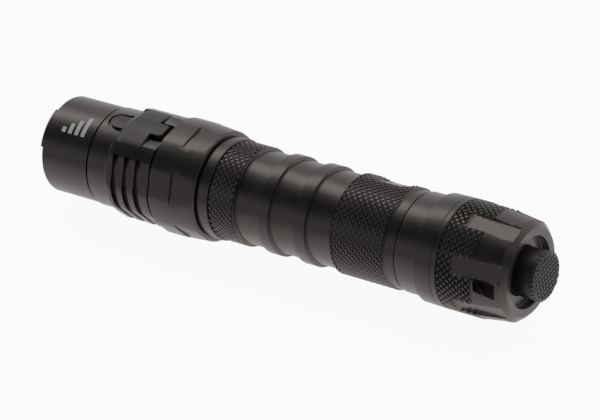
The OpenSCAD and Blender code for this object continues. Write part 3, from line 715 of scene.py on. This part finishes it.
def button_boot():
    """Rubber button: a flange, a smooth barrel, a toothed rim and a studded face."""
    angles = even_angles(RIM_TEETH * RIM_COLUMNS)
    foot, face = span("tail_button")
    flange_r = radius("tail_button")
    flange_z = foot + BUTTON_FLANGE_T
    socket_depth, socket_r = BUTTON_SOCKET
    barrel_r = BUTTON_R - BUTTON_INSET
    low = face - STUD_H
    rows = rounded([(foot, socket_r), (foot, flange_r), (flange_z, flange_r), (flange_z, barrel_r),
                    (low + BARREL_END[0], barrel_r), (low + BARREL_END[1], barrel_r)], BUTTON_EDGE)
    tooth = bumps(angles * RIM_TEETH / TURN, TOOTH_SHAPE)
    for z, grow, drop in RIM_ROWS:
        height = (TOOTH_H + TOOTH_SWELL * grow) * grow
        rows.append((low + z, BUTTON_R - RIM_INSET - drop + height * tooth))
    face_rows = np.arange(BUTTON_R - FACE_EDGE, FACE_CENTRE_R, -STUD_ROW)
    for r in np.append(face_rows, AXIS_HOLE_R):
        across, along = r * np.cos(angles), r * np.sin(angles)
        edge = smooth((BUTTON_R - FACE_FADE[0] - r) / FACE_FADE[1])
        rows.append((low + studs(across, along) * edge, r))
    rows += [(foot + socket_depth, AXIS_HOLE_R), (foot + socket_depth, socket_r)]
    return revolve("button_boot", angles, rows, rubber, "button", ["tail_button"])


# Port cover: strap, band and pull tab in one piece of rubber, with cuts across it at the hinge
HINGE_R = 11.7
STRAP_HALF = 2.35
STRAP_SETBACK = 0.45
BAND_HALF = 6.5
BAND_FRONT = 21.1
BAND_BACK = 29.25
BAND_CORNER = 1.3
TAB_HALF = 2.1
TAB_CORNER = 0.6
COVER_BOTTOM = 11.66
COVER_TOP = 12.9
STRAP_BOTTOM = 11.42
STRAP_TOP = 12.1
COVER_BEVEL = 0.22
SIDE_LIFT = 0.3
SIDE_START = 3.4
RISE_START = 20.5
RISE_LEN = 2.3
NECK_LEVEL = 12.13
SEAT_FRONT = 22.2
FOLD = (22.1, 22.35)
RISE_END = 23
FLAP_START = 23.4
# Spacing of the cuts that let the sheet bend: across, on the strap, on the rise and on the flap
CUT_ACROSS = 0.5
CUT_STRAP = 0.5
CUT_RISE = 0.16
CUT_FLAP = 0.6
# Shifts that keep the cuts off the outline's corners
SHIFT_ACROSS = 0.013
SHIFT_ALONG = 0.007
COVER_SHARP = 35
NOSE_STEPS = 9
ROUND_STEPS = 3
ROUND_SHAPE = 0.5
PORT_Z = 26.0
PLUG_W = 7.6
PLUG_H = 1.9
PLUG_FOOT = 9.9
PLUG_TOP = 11.75
PLUG_BEVEL = 0.3
PLUG_ARC = 12


def cover_outline():
    """Half outline of the cover, from the front of the strap to the end of the tab."""
    front, back = span("cover_strap")[0] + STRAP_SETBACK, span("port_cover")[1]
    nose = [(STRAP_HALF * sin(t), front + STRAP_HALF * (1 - cos(t)))
            for t in np.linspace(0, pi / 2, NOSE_STEPS)]
    return nose + [(STRAP_HALF, BAND_FRONT), (BAND_HALF - BAND_CORNER, BAND_FRONT),
                   (BAND_HALF, BAND_FRONT + BAND_CORNER), (BAND_HALF, BAND_BACK), (TAB_HALF, BAND_BACK),
                   (TAB_HALF, back - TAB_CORNER), (TAB_HALF - TAB_CORNER, back), (0, back)]


def port_cover():
    """Cuts the outline from a sheet, bevels its rim, and wraps it round the head."""
    half = cover_outline()
    outline = half + [(-a, z) for a, z in half[-2:0:-1]]
    bm = bmesh.new()
    under = bm.faces.new([bm.verts.new((a, z, 0)) for a, z in outline])
    top = bmesh.ops.extrude_face_region(bm, geom=[under])["geom"]
    raised = [v for v in top if isinstance(v, bmesh.types.BMVert)]
    bmesh.ops.translate(bm, verts=raised, vec=(0, 0, 1))
    rim = [e for e in bm.edges if all(v in raised for v in e.verts)]
    bmesh.ops.bevel(bm, geom=rim, offset=COVER_BEVEL, segments=ROUND_STEPS, profile=ROUND_SHAPE,
                    affect="EDGES")
    front, back = half[0][1], half[-1][1]
    widest = BAND_HALF - CUT_ACROSS
    for a in np.arange(-widest, BAND_HALF - CUT_ACROSS / 2, CUT_ACROSS):
        cut(bm, (a + SHIFT_ACROSS, 0, 0), (1, 0, 0))
    stations = [np.arange(front + CUT_STRAP, RISE_START, CUT_STRAP),
                np.arange(RISE_START, RISE_END, CUT_RISE), FOLD, np.arange(FLAP_START, back, CUT_FLAP)]
    for z in np.concatenate(stations):
        cut(bm, (0, z + SHIFT_ALONG, 0), (0, 1, 0))
    bmesh.ops.triangulate(bm, faces=[f for f in bm.faces if len(f.verts) > 4])
    bmesh.ops.recalc_face_normals(bm, faces=bm.faces)
    for v in bm.verts:
        across, z, height = v.co
        lift = smooth((z - RISE_START) / RISE_LEN)
        bottom = STRAP_BOTTOM + (COVER_BOTTOM - STRAP_BOTTOM) * lift
        if z < SEAT_FRONT and abs(across) > STRAP_HALF:
            bottom = NECK_LEVEL
        side = smooth((abs(across) - SIDE_START) / (BAND_HALF - SIDE_START))
        top_r = STRAP_TOP + (COVER_TOP + SIDE_LIFT * side - STRAP_TOP) * lift
        r = bottom + (top_r - bottom) * height
        v.co = Vector(place(z, r, np.arcsin(across / COVER_TOP)))
    mesh = bpy.data.meshes.new("port_cover_rubber")
    bm.to_mesh(mesh)
    bm.free()
    piece = adopt("port_cover_rubber", mesh, rubber, None, ["cover_strap", "port_cover"],
                  COVER_SHARP)
    start, end = place(FOLD[0], HINGE_R, 0.0), place(FOLD[1], HINGE_R, 0.0)
    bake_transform(piece)
    return piece


def port_plug():
    """The boss under the cover that fills the charging port."""
    half = (PLUG_W - PLUG_H) / 2
    outline = []
    for side in (1, -1):
        for t in np.linspace(-pi / 2, pi / 2, PLUG_ARC):
            outline.append((side * (half + PLUG_H / 2 * cos(t)), side * PLUG_H / 2 * sin(t)))
    bm = bmesh.new()
    bottom = bm.faces.new([bm.verts.new((a, b, PLUG_FOOT)) for a, b in outline])
    raised = bmesh.ops.extrude_face_region(bm, geom=[bottom])["geom"]
    for v in raised:
        if isinstance(v, bmesh.types.BMVert):
            v.co.z = PLUG_TOP
    rim = [e for e in bm.edges if all(v.co.z == bottom.verts[0].co.z for v in e.verts)]
    bmesh.ops.bevel(bm, geom=rim, offset=PLUG_BEVEL, segments=ROUND_STEPS, profile=ROUND_SHAPE,
                    affect="EDGES")
    bmesh.ops.recalc_face_normals(bm, faces=bm.faces)
    for v in bm.verts:
        across, along, height = v.co
        v.co = Vector((FRONT_X - PORT_Z - along, across, AXIS_HEIGHT + height)) * MM
    mesh = bpy.data.meshes.new("port_plug")
    bm.to_mesh(mesh)
    bm.free()
    return adopt("port_plug", mesh, rubber, "cover", ["port_cover"], COVER_SHARP)


CUT_TOLERANCE = 1e-6


def cut(bm, point, normal):
    geom = bm.verts[:] + bm.edges[:] + bm.faces[:]
    bmesh.ops.bisect_plane(bm, geom=geom, plane_co=point, plane_no=normal, dist=CUT_TOLERANCE)


# Springs
WIRE_SIDES = 12
TURN_STEPS = 36
FLAT_TURNS = 0.6
RISE_SHARE = 0.65
WIRE_SHARP = 40


def coil(name, node, r0, r1, turns, wire_r, material, body, slot):
    """Round wire wound from the node's front to its back, with flattened end turns."""
    z0, z1 = span(node)
    t = np.linspace(0, 1, turns * TURN_STEPS + 1)
    flat = FLAT_TURNS / turns
    rise = smooth((t - flat / 2) / (1 - flat))
    climb = (1 - RISE_SHARE) * t + RISE_SHARE * rise
    path_z = z0 + wire_r + (z1 - z0 - 2 * wire_r) * climb
    path_r = r0 + (r1 - r0) * t
    round_wire = even_angles(WIRE_SIDES)
    r = path_r[:, None] + wire_r * np.cos(round_wire)
    z = path_z[:, None] + wire_r * np.sin(round_wire)
    points = place(z, r, (t * turns * TURN)[:, None]).reshape(-1, 3).tolist()
    last = (len(t) - 1) * WIRE_SIDES
    faces = []
    for i in range(0, last, WIRE_SIDES):
        for j in range(WIRE_SIDES):
            k = (j + 1) % WIRE_SIDES
            faces.append([i + j, i + k, i + WIRE_SIDES + k, i + WIRE_SIDES + j])
    faces += [list(range(WIRE_SIDES))[::-1], list(range(last, last + WIRE_SIDES))]
    piece = finish_mesh(name, points, faces, material, body, [node], WIRE_SHARP)
    bm = bmesh.new()
    bm.from_mesh(piece.data)
    bmesh.ops.recalc_face_normals(bm, faces=bm.faces)
    bm.to_mesh(piece.data)
    bm.free()
    return piece


# Printed marks on the bezel: a plain scale of four rising bars
BEZEL_R = radius("bezel")
MARK_T = 0.02
MARK_COUNT = 4
MARK_Z = 5.0
MARK_PITCH = 1.9
MARK_W = 1.1
MARK_FOOT = 32.5
MARK_STEP = 6.5
MARK_COLUMNS = 10
MARK_ROWS = 3


def printed_bar(name, z0, z1, a0, a1):
    """A thin raised patch of ink between two stations and two angles."""
    columns, rows = MARK_COLUMNS, MARK_ROWS
    angles = np.linspace(radians(a0), radians(a1), columns)
    stations = np.linspace(z0, z1, rows)
    z, a = np.meshgrid(stations, angles, indexing="ij")
    top = place(z, BEZEL_R + MARK_T, a).reshape(-1, 3)
    under = place(z, BEZEL_R - MARK_T, a).reshape(-1, 3)
    count = rows * columns
    faces = []
    for i in range(rows - 1):
        for j in range(columns - 1):
            k = i * columns + j
            quad = [k, k + 1, k + columns + 1, k + columns]
            faces += [quad, [count + v for v in quad[::-1]]]
    ring_ids = (list(range(columns)) + [i * columns + columns - 1 for i in range(1, rows)]
                + [(rows - 1) * columns + j for j in range(columns - 2, -1, -1)]
                + [i * columns for i in range(rows - 2, 0, -1)])
    for u, v in zip(ring_ids, ring_ids[1:] + ring_ids[:1]):
        faces.append([v, u, count + u, count + v])
    return finish_mesh(name, np.concatenate([top, under]).tolist(), faces, ink, "light")


# Assemble
BEZEL_BREAK = 0.12
BEZEL_SLIT = 0.5
HEAD_BREAK = 0.10
HEAD_SLIT = -0.25
HEAD_REACH = 0.45
TAIL_COIL = {"r0": 3.2, "r1": 5.4, "turns": 5, "wire_r": 0.45}
SWITCH_COIL = {"r0": 3.3, "r1": 3.3, "turns": 2, "wire_r": 0.2}

tube_shell()
tail_shell()
broken_edges("bezel", "bezel_shell", BEZEL_BREAK, anodised, "light",
             slit=BEZEL_SLIT, reach=FACE_REACH)
broken_edges("head_body", "head_shell", HEAD_BREAK, anodised, "light",
             slit=HEAD_SLIT, reach=HEAD_REACH)
reflector_bowl()
button_boot()
port_cover()
port_plug()
coil("tail_coil", "tail_spring", **TAIL_COIL, material=brass, body="spring", slot="brass")
switch_coil = coil("switch_coil", "switch_spring", **SWITCH_COIL, material=steel, body="tail",
                   slot="steel")
fixed_end = place(span("switch_spring")[0], 0.0, 0.0)
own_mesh(switch_coil)
for k in range(MARK_COUNT):
    z = MARK_Z + MARK_PITCH * k
    printed_bar(f"bezel_mark_{k}", z, z + MARK_W, MARK_FOOT - MARK_STEP * (k + 1), MARK_FOOT)

for row in frame["record"]["subparts"]:
    for holder in nodes[row["node"]].material_slots:
        holder.material = FINISH[row["material_slot"]]
for holder in nodes["charge_tongue"].material_slots:
    holder.material = tongue

# Studio: a white floor, a large softbox behind and above, and a dim room
scene = bpy.context.scene
scene.view_settings.view_transform = "Standard"

# Brightness of the room by the angle round the light's axis, from straight up towards +Y
ROOM_LEVELS = ((-180, 0.5), (-98, 0.85), (-68, 0.58), (0, 0.2), (14, 0.045), (42, 0.045), (58, 0.26),
               (70, 0.32), (86, 0.22), (100, 0.17))


def dim_room():
    world = bpy.data.worlds.new("studio")
    scene.world = world
    world.use_nodes = True
    tree = world.node_tree
    where = add(tree, "ShaderNodeTexCoord").outputs["Generated"]
    facing = add(tree, "ShaderNodeSeparateXYZ", {0: where}).outputs
    round_axis = maths(tree, "ARCTAN2", facing["Y"], facing["Z"])
    ramp = add(tree, "ShaderNodeValToRGB", {"Fac": remap(tree, round_axis, -pi, pi, 0, 1)})
    while len(ramp.color_ramp.elements) < len(ROOM_LEVELS):
        ramp.color_ramp.elements.new(1)
    for stop, (angle, level) in zip(ramp.color_ramp.elements, ROOM_LEVELS):
        stop.position = angle / 360 + 0.5
        stop.color = grey(level)
    tree.links.new(ramp.outputs["Color"], tree.nodes["Background"].inputs["Color"])


# The paper glows white to the camera; in reflections its glow falls off to both sides of the light
FLOOR_HALF = 3.0
FLOOR_Z = -0.00002
PAPER_LEVEL = 0.86
PAPER_ROUGHNESS = 0.9
PAPER_GLOW = 0.94
GLOW_REACH = 0.014
GLOW_FALL_FRONT = 0.8
GLOW_FALL_BACK = 0.15


def white_paper():
    material, tree, shader = new_material("white_paper")
    shader.inputs["Base Color"].default_value = grey(PAPER_LEVEL)
    shader.inputs["Roughness"].default_value = PAPER_ROUGHNESS
    where = add(tree, "ShaderNodeTexCoord").outputs["Object"]
    across = add(tree, "ShaderNodeSeparateXYZ", {0: where}).outputs["Y"]
    aside = maths(tree, "MAXIMUM", maths(tree, "ABSOLUTE", across), GLOW_REACH)
    in_front = maths(tree, "GREATER_THAN", across, 0.0)
    rate = remap(tree, in_front, 0, 1, GLOW_FALL_BACK, GLOW_FALL_FRONT)
    fall = maths(tree, "POWER", maths(tree, "DIVIDE", GLOW_REACH, aside), rate)
    path = add(tree, "ShaderNodeLightPath").outputs
    mirrored = maths(tree, "MAXIMUM", path["Is Glossy Ray"], path["Is Transmission Ray"])
    seen = maths(tree, "MAXIMUM", path["Is Camera Ray"], maths(tree, "MULTIPLY", mirrored, fall))
    share = maths(tree, "MULTIPLY", seen, PAPER_GLOW)
    glow = add(tree, "ShaderNodeEmission", {"Color": grey(1.0), "Strength": 1.0})
    mixed = add(tree, "ShaderNodeMixShader", {0: share, 1: shader.outputs[0], 2: glow.outputs[0]})
    tree.links.new(mixed.outputs[0], tree.nodes["Material Output"].inputs["Surface"])
    return material


def paper_floor():
    mesh = bpy.data.meshes.new("floor")
    signs = ((-1, -1), (1, -1), (1, 1), (-1, 1))
    corners = [(FLOOR_HALF * a, FLOOR_HALF * b, FLOOR_Z) for a, b in signs]
    mesh.from_pydata(corners, [], [[0, 1, 2, 3]])
    mesh.materials.append(white_paper())
    floor = bpy.data.objects.new("floor", mesh)
    scene.collection.objects.link(floor)


SOFTBOX_PLACE = (1.0, -0.335, 0.625)
SOFTBOX_SIZE = (2.4, 0.54)
SOFTBOX_WATTS = 4.9


def softbox():
    """A panel that lies along the flashlight and faces its axis."""
    lamp = bpy.data.lights.new("softbox_back", "AREA")
    lamp.shape = "RECTANGLE"
    lamp.size, lamp.size_y = SOFTBOX_SIZE
    lamp.energy = SOFTBOX_WATTS
    holder = bpy.data.objects.new("softbox_back", lamp)
    scene.collection.objects.link(holder)
    holder.location = SOFTBOX_PLACE
    aside, above = SOFTBOX_PLACE[1], SOFTBOX_PLACE[2] - AXIS_HEIGHT * MM
    holder.rotation_euler = (np.arctan2(aside, above), 0, 0)


# Camera: long lens over the tail, rolled a little
CAMERA_AZIMUTH = radians(222.326)
CAMERA_ELEVATION = radians(38.590)
CAMERA_ROLL = radians(-13.850)
CAMERA_DISTANCE = 0.6899
CAMERA_AIM = Vector((-0.00108, 0.00039, 0.01234))
CAMERA_LENS = 180
CAMERA_SENSOR = 36


def long_lens():
    lens = bpy.data.cameras.new("camera")
    lens.lens = CAMERA_LENS
    lens.sensor_width = CAMERA_SENSOR
    camera = bpy.data.objects.new("camera", lens)
    scene.collection.objects.link(camera)
    level = cos(CAMERA_ELEVATION)
    towards = Vector((sin(CAMERA_AZIMUTH) * level, -cos(CAMERA_AZIMUTH) * level,
                      sin(CAMERA_ELEVATION)))
    pose = towards.to_track_quat("Z", "Y").to_matrix() @ Matrix.Rotation(CAMERA_ROLL, 3, "Z")
    where = Matrix.Translation(CAMERA_AIM + towards * CAMERA_DISTANCE)
    camera.matrix_world = where @ pose.to_4x4()
    scene.camera = camera


dim_room()
paper_floor()
softbox()
long_lens()
